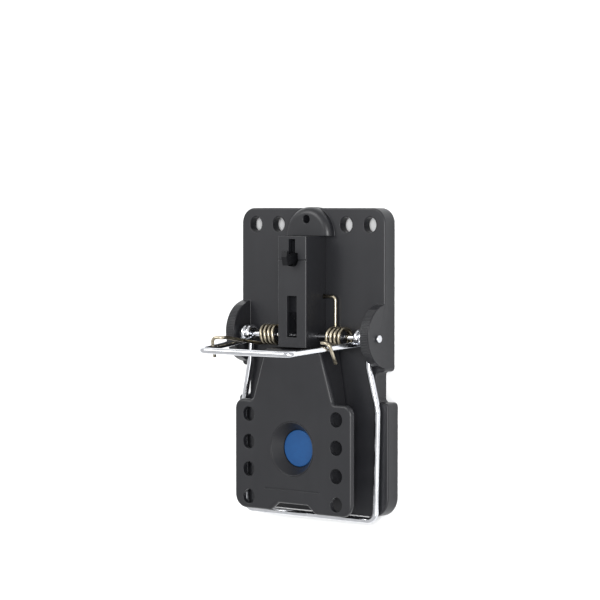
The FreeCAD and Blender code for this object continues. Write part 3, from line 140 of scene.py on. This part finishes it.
class Shader:
    """A material under construction, with one Principled surface."""

    def __init__(self, name: str) -> None:
        """Start an empty material of that name."""
        self.material = bpy.data.materials.new(name)
        self.material.use_nodes = True
        self.tree = self.material.node_tree
        self.tree.nodes.clear()

    def node(
        self,
        kind: str,
        settings: dict[str, object] | None = None,
        inputs: dict[str | int, object] | None = None,
        output: str | int | None = 0,
    ) -> Field | None:
        """Add a node.

        Args:
            kind: the node's type.
            settings: its own properties; a ramp's stops are given as "stops".
            inputs: values or fields by a socket's identifier or index.
            output: the identifier or index of the socket wanted, or None at the end.

        Returns:
            That socket, as a field, or None where none is wanted.
        """
        made = self.tree.nodes.new(kind)
        for key, value in (settings or {}).items():
            if key == "stops":
                self.set_stops(made.color_ramp, value)
            else:
                setattr(made, key, value)
        for key, value in (inputs or {}).items():
            socket = self.find(made.inputs, key)
            if isinstance(value, Field):
                self.tree.links.new(value.socket, socket)
            else:
                socket.default_value = value
        return None if output is None else Field(self, self.find(made.outputs, output))

    @staticmethod
    def find(sockets: bpy.types.bpy_prop_collection, key: str | int) -> bpy.types.NodeSocket:
        """Find a socket.

        Args:
            sockets: a node's inputs or outputs.
            key: an index, or an identifier.

        Returns:
            The socket.
        """
        if isinstance(key, int):
            return sockets[key]
        return next(socket for socket in sockets if socket.identifier == key)

    @staticmethod
    def set_stops(ramp: bpy.types.ColorRamp, stops: list[tuple[float, float]]) -> None:
        """Give a ramp its grey stops, each a place and a brightness."""
        while len(ramp.elements) < len(stops):
            ramp.elements.new(1.0)
        for element, (place, grey) in zip(ramp.elements, stops):
            element.position = place
            element.color = (grey, grey, grey, 1.0)

    def place(self, stretch: tuple[float, float, float] = (1.0, 1.0, 1.0)) -> Field:
        """Give the object's own coordinates, stretched along the axes."""
        coordinates = self.node("ShaderNodeTexCoord", output="Object")
        return self.node("ShaderNodeMapping", inputs={"Vector": coordinates, "Scale": stretch})

    def noise(self, scale: float, detail: float, vector: Field, rough: float = 0.5) -> Field:
        """Add a noise texture.

        Args:
            scale: its waves to a metre.
            detail: its octaves.
            vector: where it is read.
            rough: how strong each finer octave is.

        Returns:
            The noise, about a half.
        """
        inputs = {"Scale": scale, "Detail": detail, "Roughness": rough, "Vector": vector}
        return self.node("ShaderNodeTexNoise", inputs=inputs)

    def ramp(self, field: Field, stops: list[tuple[float, float]]) -> Field:
        """Pass a field through a grey ramp."""
        return self.node("ShaderNodeValToRGB", {"stops": stops}, {"Fac": field})

    def tint(self, factor: Field, first: tuple, second: tuple) -> Field:
        """Mix two colours by a field."""
        inputs = {"Factor_Float": factor, "A_Color": (*first, 1.0), "B_Color": (*second, 1.0)}
        return self.node("ShaderNodeMix", {"data_type": "RGBA"}, inputs, "Result_Color")

    def bump(self, height: Field, strength: float, depth: float) -> Field:
        """Turn a height into a bumped normal."""
        inputs = {"Strength": strength, "Distance": depth, "Height": height}
        return self.node("ShaderNodeBump", inputs=inputs)

    def surface(self, inputs: dict[str, object]) -> bpy.types.Material:
        """Finish the material with a Principled surface.

        Args:
            inputs: the surface's values or fields.

        Returns:
            The material.
        """
        shading = self.node("ShaderNodeBsdfPrincipled", inputs=inputs)
        self.node("ShaderNodeOutputMaterial", inputs={"Surface": shading}, output=None)
        return self.material


@dataclass(frozen=True)
class MouldedPlastic:
    """Satin black moulding with a fine sparked grain and faint flow marks."""

    name: str = "black_moulding"
    dark: tuple[float, float, float] = (0.0070, 0.0073, 0.0090)
    pale: tuple[float, float, float] = (0.0130, 0.0134, 0.0158)
    gloss: float = 0.38
    gloss_change: float = 0.16
    shine: float = 0.36
    grain: float = 1900.0
    grain_depth: float = 0.03 * MM
    grain_strength: float = 0.35
    cloud: float = 42.0
    cloud_share: float = 0.7
    flow: float = 30.0
    flow_stretch: tuple[float, float, float] = (6.0, 0.7, 6.0)
    flow_share: float = 0.3
    flow_gloss: float = 0.10
    speck: float = 2600.0
    speck_level: float = 0.81
    speck_share: float = 0.6

    def material(self) -> bpy.types.Material:
        """Make the material."""
        shader = Shader(self.name)
        here = shader.place()
        grain = shader.noise(self.grain, 3.0, here, 0.6)
        cloud = shader.noise(self.cloud, 5.0, here, 0.6)
        flow = shader.noise(self.flow, 4.0, shader.place(self.flow_stretch), 0.55)
        specks = shader.noise(self.speck, 0.0, here) > self.speck_level
        mottle = (
            cloud * self.cloud_share + flow * self.flow_share + specks * self.speck_share
        )
        rough = (
            (cloud - MIDDLE) * self.gloss_change
            + (flow - MIDDLE) * self.flow_gloss
            + self.gloss
        )
        return shader.surface(
            {
                "Base Color": shader.tint(mottle, self.dark, self.pale),
                "Roughness": rough,
                "Specular IOR Level": self.shine,
                "Normal": shader.bump(grain, self.grain_strength, self.grain_depth),
            }
        )


@dataclass(frozen=True)
class DrawnWire:
    """Bright drawn steel wire, with faint draw lines and dull patches."""

    name: str = "bright_wire"
    dull: tuple[float, float, float] = (0.45, 0.46, 0.485)
    bright: tuple[float, float, float] = (0.72, 0.73, 0.76)
    gloss: float = 0.13
    gloss_change: float = 0.16
    patch: float = 260.0
    draw_line: float = 3200.0
    line_strength: float = 0.12
    line_depth: float = 0.01 * MM

    def material(self) -> bpy.types.Material:
        """Make the material."""
        shader = Shader(self.name)
        here = shader.place()
        patches = shader.noise(self.patch, 4.0, here, 0.6)
        fine = shader.noise(self.draw_line, 2.0, here)
        rough = (patches - MIDDLE) * self.gloss_change + self.gloss
        return shader.surface(
            {
                "Base Color": shader.tint(patches, self.dull, self.bright),
                "Metallic": 1.0,
                "Roughness": rough,
                "Normal": shader.bump(fine, self.line_strength, self.line_depth),
            }
        )


@dataclass(frozen=True)
class YellowZinc:
    """Yellow zinc plate on spring wire, between straw and olive."""

    name: str = "yellow_spring"
    straw: tuple[float, float, float] = (0.47, 0.42, 0.325)
    olive: tuple[float, float, float] = (0.20, 0.175, 0.125)
    gloss: float = 0.30
    gloss_change: float = 0.2
    patch: float = 330.0
    all_olive: float = 0.3
    all_straw: float = 0.68
    fine: float = 2600.0
    fine_strength: float = 0.15
    fine_depth: float = 0.01 * MM

    def material(self) -> bpy.types.Material:
        """Make the material."""
        shader = Shader(self.name)
        here = shader.place()
        patches = shader.noise(self.patch, 4.0, here, 0.6)
        fine = shader.noise(self.fine, 2.0, here)
        blend = shader.ramp(patches, [(self.all_olive, 0.0), (self.all_straw, 1.0)])
        return shader.surface(
            {
                "Base Color": shader.tint(blend, self.olive, self.straw),
                "Metallic": 1.0,
                "Roughness": (patches - MIDDLE) * self.gloss_change + self.gloss,
                "Normal": shader.bump(fine, self.fine_strength, self.fine_depth),
            }
        )


@dataclass(frozen=True)
class SetPaste:
    """The blue attractant, a firm paste with a dull skin."""

    name: str = "blue_attractant"
    deep: tuple[float, float, float] = (0.0045, 0.037, 0.122)
    clear: tuple[float, float, float] = (0.0075, 0.057, 0.172)
    shine: float = 0.25
    gloss: float = 0.55
    gloss_change: float = 0.2
    mottle: float = 380.0
    skin: float = 1500.0
    skin_strength: float = 0.3
    skin_depth: float = 0.04 * MM

    def material(self) -> bpy.types.Material:
        """Make the material."""
        shader = Shader(self.name)
        here = shader.place()
        mottle = shader.noise(self.mottle, 5.0, here, 0.6)
        skin = shader.noise(self.skin, 3.0, here)
        return shader.surface(
            {
                "Base Color": shader.tint(mottle, self.deep, self.clear),
                "Roughness": (mottle - MIDDLE) * self.gloss_change + self.gloss,
                "Specular IOR Level": self.shine,
                "Normal": shader.bump(skin, self.skin_strength, self.skin_depth),
            }
        )


@dataclass(frozen=True)
class PlainFloor:
    """The studio's pale floor."""

    name: str = "studio_floor"
    colour: tuple[float, float, float, float] = (0.86, 0.865, 0.87, 1.0)

    def material(self) -> bpy.types.Material:
        """Make the material."""
        return Shader(self.name).surface({"Base Color": self.colour, "Roughness": 0.75})


class Piece:
    """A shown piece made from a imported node, with its edges softened."""

    SHARP = math.radians(28.0)
    CREASE = math.radians(48.0)
    FLAT = math.radians(0.4)
    NARROW = math.radians(40.0)
    SAME = 0.001 * MM
    SHORT = 0.06 * MM

    @classmethod
    def merged(cls, node: str) -> bmesh.types.BMesh:
        """Copy a node's mesh with its corners joined.

        Args:
            node: the node's name.

        Returns:
            The copy, for the caller to free.
        """
        mesh = bmesh.new()
        mesh.from_mesh(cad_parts[node].data)
        bmesh.ops.remove_doubles(mesh, verts=mesh.verts, dist=cls.SAME)
        return mesh

    @classmethod
    def soften(cls, mesh: bmesh.types.BMesh, width: float, segments: int) -> None:
        """Round the sharp edges of a merged mesh.

        Args:
            mesh: the mesh, changed in place.
            width: how far the rounding reaches from each edge.
            segments: its steps.
        """
        bmesh.ops.dissolve_limit(
            mesh, angle_limit=cls.FLAT, verts=mesh.verts, edges=mesh.edges, delimit={"NORMAL"}
        )
        bmesh.ops.dissolve_degenerate(mesh, dist=cls.SHORT, edges=mesh.edges)
        bmesh.ops.connect_verts_concave(mesh, faces=mesh.faces)
        sharp = {e for e in mesh.edges if e.is_manifold and e.calc_face_angle() > cls.SHARP}
        bmesh.ops.bevel(
            mesh,
            geom=[e for e in mesh.edges if e in sharp and not cls.is_narrow(e, sharp)],
            offset=width,
            offset_type="OFFSET",
            affect="EDGES",
            segments=segments,
            profile=0.5,
            material=-1,
            clamp_overlap=False,
        )

    @classmethod
    def is_narrow(cls, edge: bmesh.types.BMEdge, sharp: set[bmesh.types.BMEdge]) -> bool:
        """Tell whether an edge runs into another sharp edge at a narrow angle.

        Args:
            edge: the edge.
            sharp: all the sharp edges.

        Returns:
            True where a rounding would be driven out into a spike.
        """
        for corner in edge.verts:
            along = edge.other_vert(corner).co - corner.co
            for other in corner.link_edges:
                if other is edge or other not in sharp:
                    continue
                if along.angle(other.other_vert(corner).co - corner.co, 0.0) < cls.NARROW:
                    return True
        return False

    @classmethod
    def finish(
        cls,
        mesh: bmesh.types.BMesh,
        name: str,
        body: Body,
        slot: Slot,
        material: bpy.types.Material,
    ) -> bpy.types.Object:
        """Turn a mesh into a shown piece that rides on a body.

        Args:
            mesh: the mesh, freed here.
            name: the piece's name.
            body: the body that carries it.
            slot: not used.
            material: its finish.

        Returns:
            The piece.
        """
        data = bpy.data.meshes.new(name)
        mesh.to_mesh(data)
        mesh.free()
        data.materials.clear()
        data.materials.append(material)
        data.shade_smooth()
        data.set_sharp_from_angle(angle=cls.CREASE)
        piece = bpy.data.objects.new(name, data)
        shading = piece.modifiers.new("even_faces", "WEIGHTED_NORMAL")
        shading.keep_sharp = True
        bpy.context.scene.collection.objects.link(piece)
        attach(piece, body.value)
        LOG.info("%s: %d faces, on %s", name, len(data.polygons), body.value)
        return piece

    @staticmethod
    def dress(node: str, material: bpy.types.Material) -> None:
        """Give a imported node, kept as it is, its finish."""
        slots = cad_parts[node].data.materials
        slots.clear()
        slots.append(material)
        LOG.info("%s: kept, with %s", node, material.name)


@dataclass
class Finishes:
    """The materials, made once and shared."""

    plastic: bpy.types.Material
    slick: bpy.types.Material
    wire: bpy.types.Material
    zinc: bpy.types.Material
    paste: bpy.types.Material

    @classmethod
    def make(cls) -> "Finishes":
        """Make each finish."""
        return cls(
            plastic=MouldedPlastic().material(),
            # The catch lever's copy of the moulding is darker: painted shade over its lit top
            # face, with less shine and a finer grain
            slick=MouldedPlastic(
                name="black_catch_painted_shade",
                dark=(0.0040, 0.0042, 0.0050),
                pale=(0.0070, 0.0072, 0.0085),
                shine=0.14,
                grain_strength=0.15,
            ).material(),
            wire=DrawnWire().material(),
            zinc=YellowZinc().material(),
            paste=SetPaste().material(),
        )


@dataclass
class Mouldings:
    """The black mouldings: base, ridge, deck, cup and the small rings on the rod."""

    finishes: Finishes
    edge: float = 0.28 * MM
    scored_edge: float = 0.16 * MM
    fine_edge: float = 0.12 * MM
    steps: int = 3
    lug_radius: float = 14.4 * MM
    lug_behind: float = 0.8 * MM
    lug_below_rod: float = 7.5 * MM
    lug_inner: float = 36.6 * MM
    lug_outer: float = 41.6 * MM
    rib_radius: float = 0.34 * MM
    rib_sunk: float = 0.16 * MM
    rib_first: float = math.radians(-52.0)
    rib_last: float = math.radians(56.0)
    rib_count: int = 37
    rib_sides: int = 8
    rib_margin: float = 0.45 * MM

    SCORED = {
        "catch_housing": Body.BASE,
        "treadle_deck": Body.TREADLE,
    }
    SMALL = {
        "bait_cup": Body.TREADLE,
        "axle_washer_left": Body.BASE,
        "axle_washer_right": Body.BASE,
        "spring_bush_left": Body.BASE,
        "spring_bush_right": Body.BASE,
    }

    def build(self) -> None:
        """Make every moulding."""
        self.moulded("base_tray", Body.BASE, self.edge)
        for node, body in self.SCORED.items():
            self.moulded(node, body, self.scored_edge)
        for node, body in self.SMALL.items():
            self.moulded(node, body, self.fine_edge)
        Piece.dress("trip_arm", self.finishes.plastic)
        # The catch lever wears the darker copy of the moulding, a painted shade
        Piece.dress("catch_lever", self.finishes.slick)
        for side in Side:
            self.lug_ribs(side)

    def lug_ribs(self, side: Side) -> bpy.types.Object:
        """Lay the fine ribs across the round rim of one lug.

        Args:
            side: the lug's side.

        Returns:
            The ribs, as one piece.
        """
        low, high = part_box("axle_rod")
        rod = (low + high) / 2
        centre = Vector(
            (
                side.value * (self.lug_inner + self.lug_outer) / 2,
                rod.y + self.lug_behind,
                rod.z - self.lug_below_rod,
            )
        )
        mesh = bmesh.new()
        reach = self.lug_radius - self.rib_sunk
        long = self.lug_outer - self.lug_inner - 2 * self.rib_margin
        step = (self.rib_last - self.rib_first) / (self.rib_count - 1)
        for index in range(self.rib_count):
            angle = self.rib_first + step * index
            spot = centre + Vector((0.0, math.sin(angle), math.cos(angle))) * reach
            bmesh.ops.create_cone(
                mesh,
                cap_ends=True,
                segments=self.rib_sides,
                radius1=self.rib_radius,
                radius2=self.rib_radius,
                depth=long,
                matrix=Matrix.Translation(spot) @ Matrix.Rotation(math.radians(90.0), 4, "Y"),
            )
        name = f"lug_ribs_{side.name.lower()}"
        return Piece.finish(mesh, name, Body.BASE, Slot.MOULDING, self.finishes.plastic)

    def moulded(self, node: str, body: Body, edge: float) -> bpy.types.Object:
        """Make one moulding from its node.

        Args:
            node: the node's name.
            body: the body that carries it.
            edge: how far its edges are rounded.

        Returns:
            The piece.
        """
        mesh = Piece.merged(node)
        Piece.soften(mesh, edge, self.steps)
        piece = Piece.finish(
            mesh, f"{node}_moulding", body, Slot.MOULDING, self.finishes.plastic
        )
        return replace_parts(piece, node)


@dataclass
class Attractant:
    """The blue pad in the cup, with a soft rim."""

    finishes: Finishes
    edge: float = 0.45 * MM
    steps: int = 3

    def build(self) -> bpy.types.Object:
        """Make the pad."""
        mesh = Piece.merged("attractant_pad")
        Piece.soften(mesh, self.edge, self.steps)
        piece = Piece.finish(
            mesh, "attractant_paste", Body.TREADLE, Slot.ATTRACTANT, self.finishes.paste
        )
        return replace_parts(piece, "attractant_pad")


@dataclass
class Wirework:
    """The rod with its two ends, the bows and the pins, all of bright steel."""

    finishes: Finishes
    edge: float = 0.22 * MM
    steps: int = 3

    def build(self) -> None:
        """Dress the wire nodes, whose shapes are right, and round the rod's ends."""
        for node in ("axle_rod", "kill_bow", "setting_bow", "treadle_pin", "catch_pin"):
            Piece.dress(node, self.finishes.wire)
        for side in Side:
            self.rod_end(side)

    def rod_end(self, side: Side) -> bpy.types.Object:
        """Make the pressed end of the rod on one side.

        Args:
            side: its side.

        Returns:
            The piece.
        """
        node = f"axle_cap_{side.name.lower()}"
        mesh = Piece.merged(node)
        Piece.soften(mesh, self.edge, self.steps)
        piece = Piece.finish(mesh, f"{node}_end", Body.BASE, Slot.WIRE, self.finishes.wire)
        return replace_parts(piece, node)


@dataclass
class Springs:
    """The two torsion springs, one leg still and the other on the setting bow."""

    finishes: Finishes
    still_end: float = 14.625 * MM
    turning_end: float = 24.4 * MM

    def build(self) -> None:
        """Make both springs."""
        for side in Side:
            self.spring(side)

    def spring(self, side: Side) -> bpy.types.Object:
        """Make the spring of one side.

        Args:
            side: its side.

        Returns:
            The piece.
        """
        node = f"spring_{side.name.lower()}"
        mesh = Piece.merged(node)
        data = bpy.data.meshes.new(f"{node}_coil")
        mesh.to_mesh(data)
        mesh.free()
        data.materials.clear()
        data.materials.append(self.finishes.zinc)
        data.shade_smooth()
        piece = bpy.data.objects.new(f"{node}_coil", data)
        bpy.context.scene.collection.objects.link(piece)
        low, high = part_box("axle_rod")
        centre = (low + high) / 2
        start = Vector((side.value * self.still_end, centre.y, centre.z))
        end = Vector((side.value * self.turning_end, centre.y, centre.z))
        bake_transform(piece)
        LOG.info("%s: %d faces, base to bows", piece.name, len(data.polygons))
        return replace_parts(piece, node)


@dataclass
class Studio:
    """The floor, the soft light and the camera."""

    floor_side: float = 6.0
    foot_pixel: tuple[float, float] = (322.0, 334.5)
    foot_depth: float = 1.0734
    turn: float = math.radians(39.0)
    dip: float = math.radians(2.325)
    focal: float = 2340.0
    sensor: float = 36.0
    nearest: float = 0.05
    farthest: float = 20.0
    sky: float = 0.85

    def build(self) -> None:
        """Set up the studio."""
        self.lay_floor()
        self.light()
        self.aim_camera()

    def lay_floor(self) -> None:
        """Lay the pale floor that the trap lies on."""
        mesh = bmesh.new()
        bmesh.ops.create_grid(mesh, x_segments=1, y_segments=1, size=self.floor_side / 2)
        data = bpy.data.meshes.new("studio_floor")
        mesh.to_mesh(data)
        mesh.free()
        data.materials.append(PlainFloor().material())
        floor = bpy.data.objects.new("studio_floor", data)
        bpy.context.scene.collection.objects.link(floor)

    def light(self) -> None:
        """Hang the soft boxes and set the sky."""
        world = bpy.data.worlds.new("studio")
        world.use_nodes = True
        sky = world.node_tree.nodes["Background"]
        sky.inputs["Color"].default_value = (1.0, 1.0, 1.0, 1.0)
        sky.inputs["Strength"].default_value = self.sky
        bpy.context.scene.world = world
        bpy.context.scene.view_settings.view_transform = "Standard"
        self.soft_box("key_box", (-0.5, 0.55, 0.9), 0.6, 7.0)
        self.soft_box("fill_box", (0.9, -0.5, 0.8), 0.8, 4.0)
        self.soft_box("front_box", (0.62, 0.12, 0.86), 0.35, 9.0)

    @staticmethod
    def soft_box(
        name: str, place: tuple[float, float, float], side: float, power: float
    ) -> None:
        """Hang one square light that faces the trap.

        Args:
            name: the light's name.
            place: its centre.
            side: its side.
            power: its power in watts.
        """
        data = bpy.data.lights.new(name, "AREA")
        data.shape = "SQUARE"
        data.size = side
        data.energy = power
        lamp = bpy.data.objects.new(name, data)
        lamp.location = place
        lamp.rotation_mode = "QUATERNION"
        lamp.rotation_quaternion = (-Vector(place)).to_track_quat("-Z", "Y")
        bpy.context.scene.collection.objects.link(lamp)

    def aim_camera(self) -> None:
        """Set the camera at the photograph's viewing angle."""
        across = Vector((math.cos(self.turn), 0.0, -math.sin(self.turn)))
        level = Vector((-math.sin(self.turn), 0.0, -math.cos(self.turn)))
        up = Vector((0.0, math.cos(self.dip), 0.0)) + level * math.sin(self.dip)
        ahead = level * math.cos(self.dip) - Vector((0.0, math.sin(self.dip), 0.0))
        low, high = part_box("axle_rod")
        foot = Vector((0.0, (low.y + high.y) / 2, 0.0))
        half = IMAGE_SIDE / 2
        right = (self.foot_pixel[0] - half) / self.focal * self.foot_depth
        down = (self.foot_pixel[1] - half) / self.focal * self.foot_depth
        spot = foot - ahead * self.foot_depth - across * right + up * down
        data = bpy.data.cameras.new("camera")
        data.sensor_width = self.sensor
        data.lens = self.focal / IMAGE_SIDE * self.sensor
        data.clip_start = self.nearest
        data.clip_end = self.farthest
        camera = bpy.data.objects.new("camera", data)
        turned = Matrix((across, up, -ahead)).transposed().to_4x4()
        camera.matrix_world = Matrix.Translation(spot) @ turned
        bpy.context.scene.collection.objects.link(camera)
        bpy.context.scene.camera = camera


def main() -> None:
    """Build the trap's looks in order."""
    logging.basicConfig(level=logging.INFO, format="%(name)s: %(message)s")
    Studio().build()
    finishes = Finishes.make()
    Mouldings(finishes).build()
    Attractant(finishes).build()
    Wirework(finishes).build()
    Springs(finishes).build()


if __name__ == "__main__":
    main()
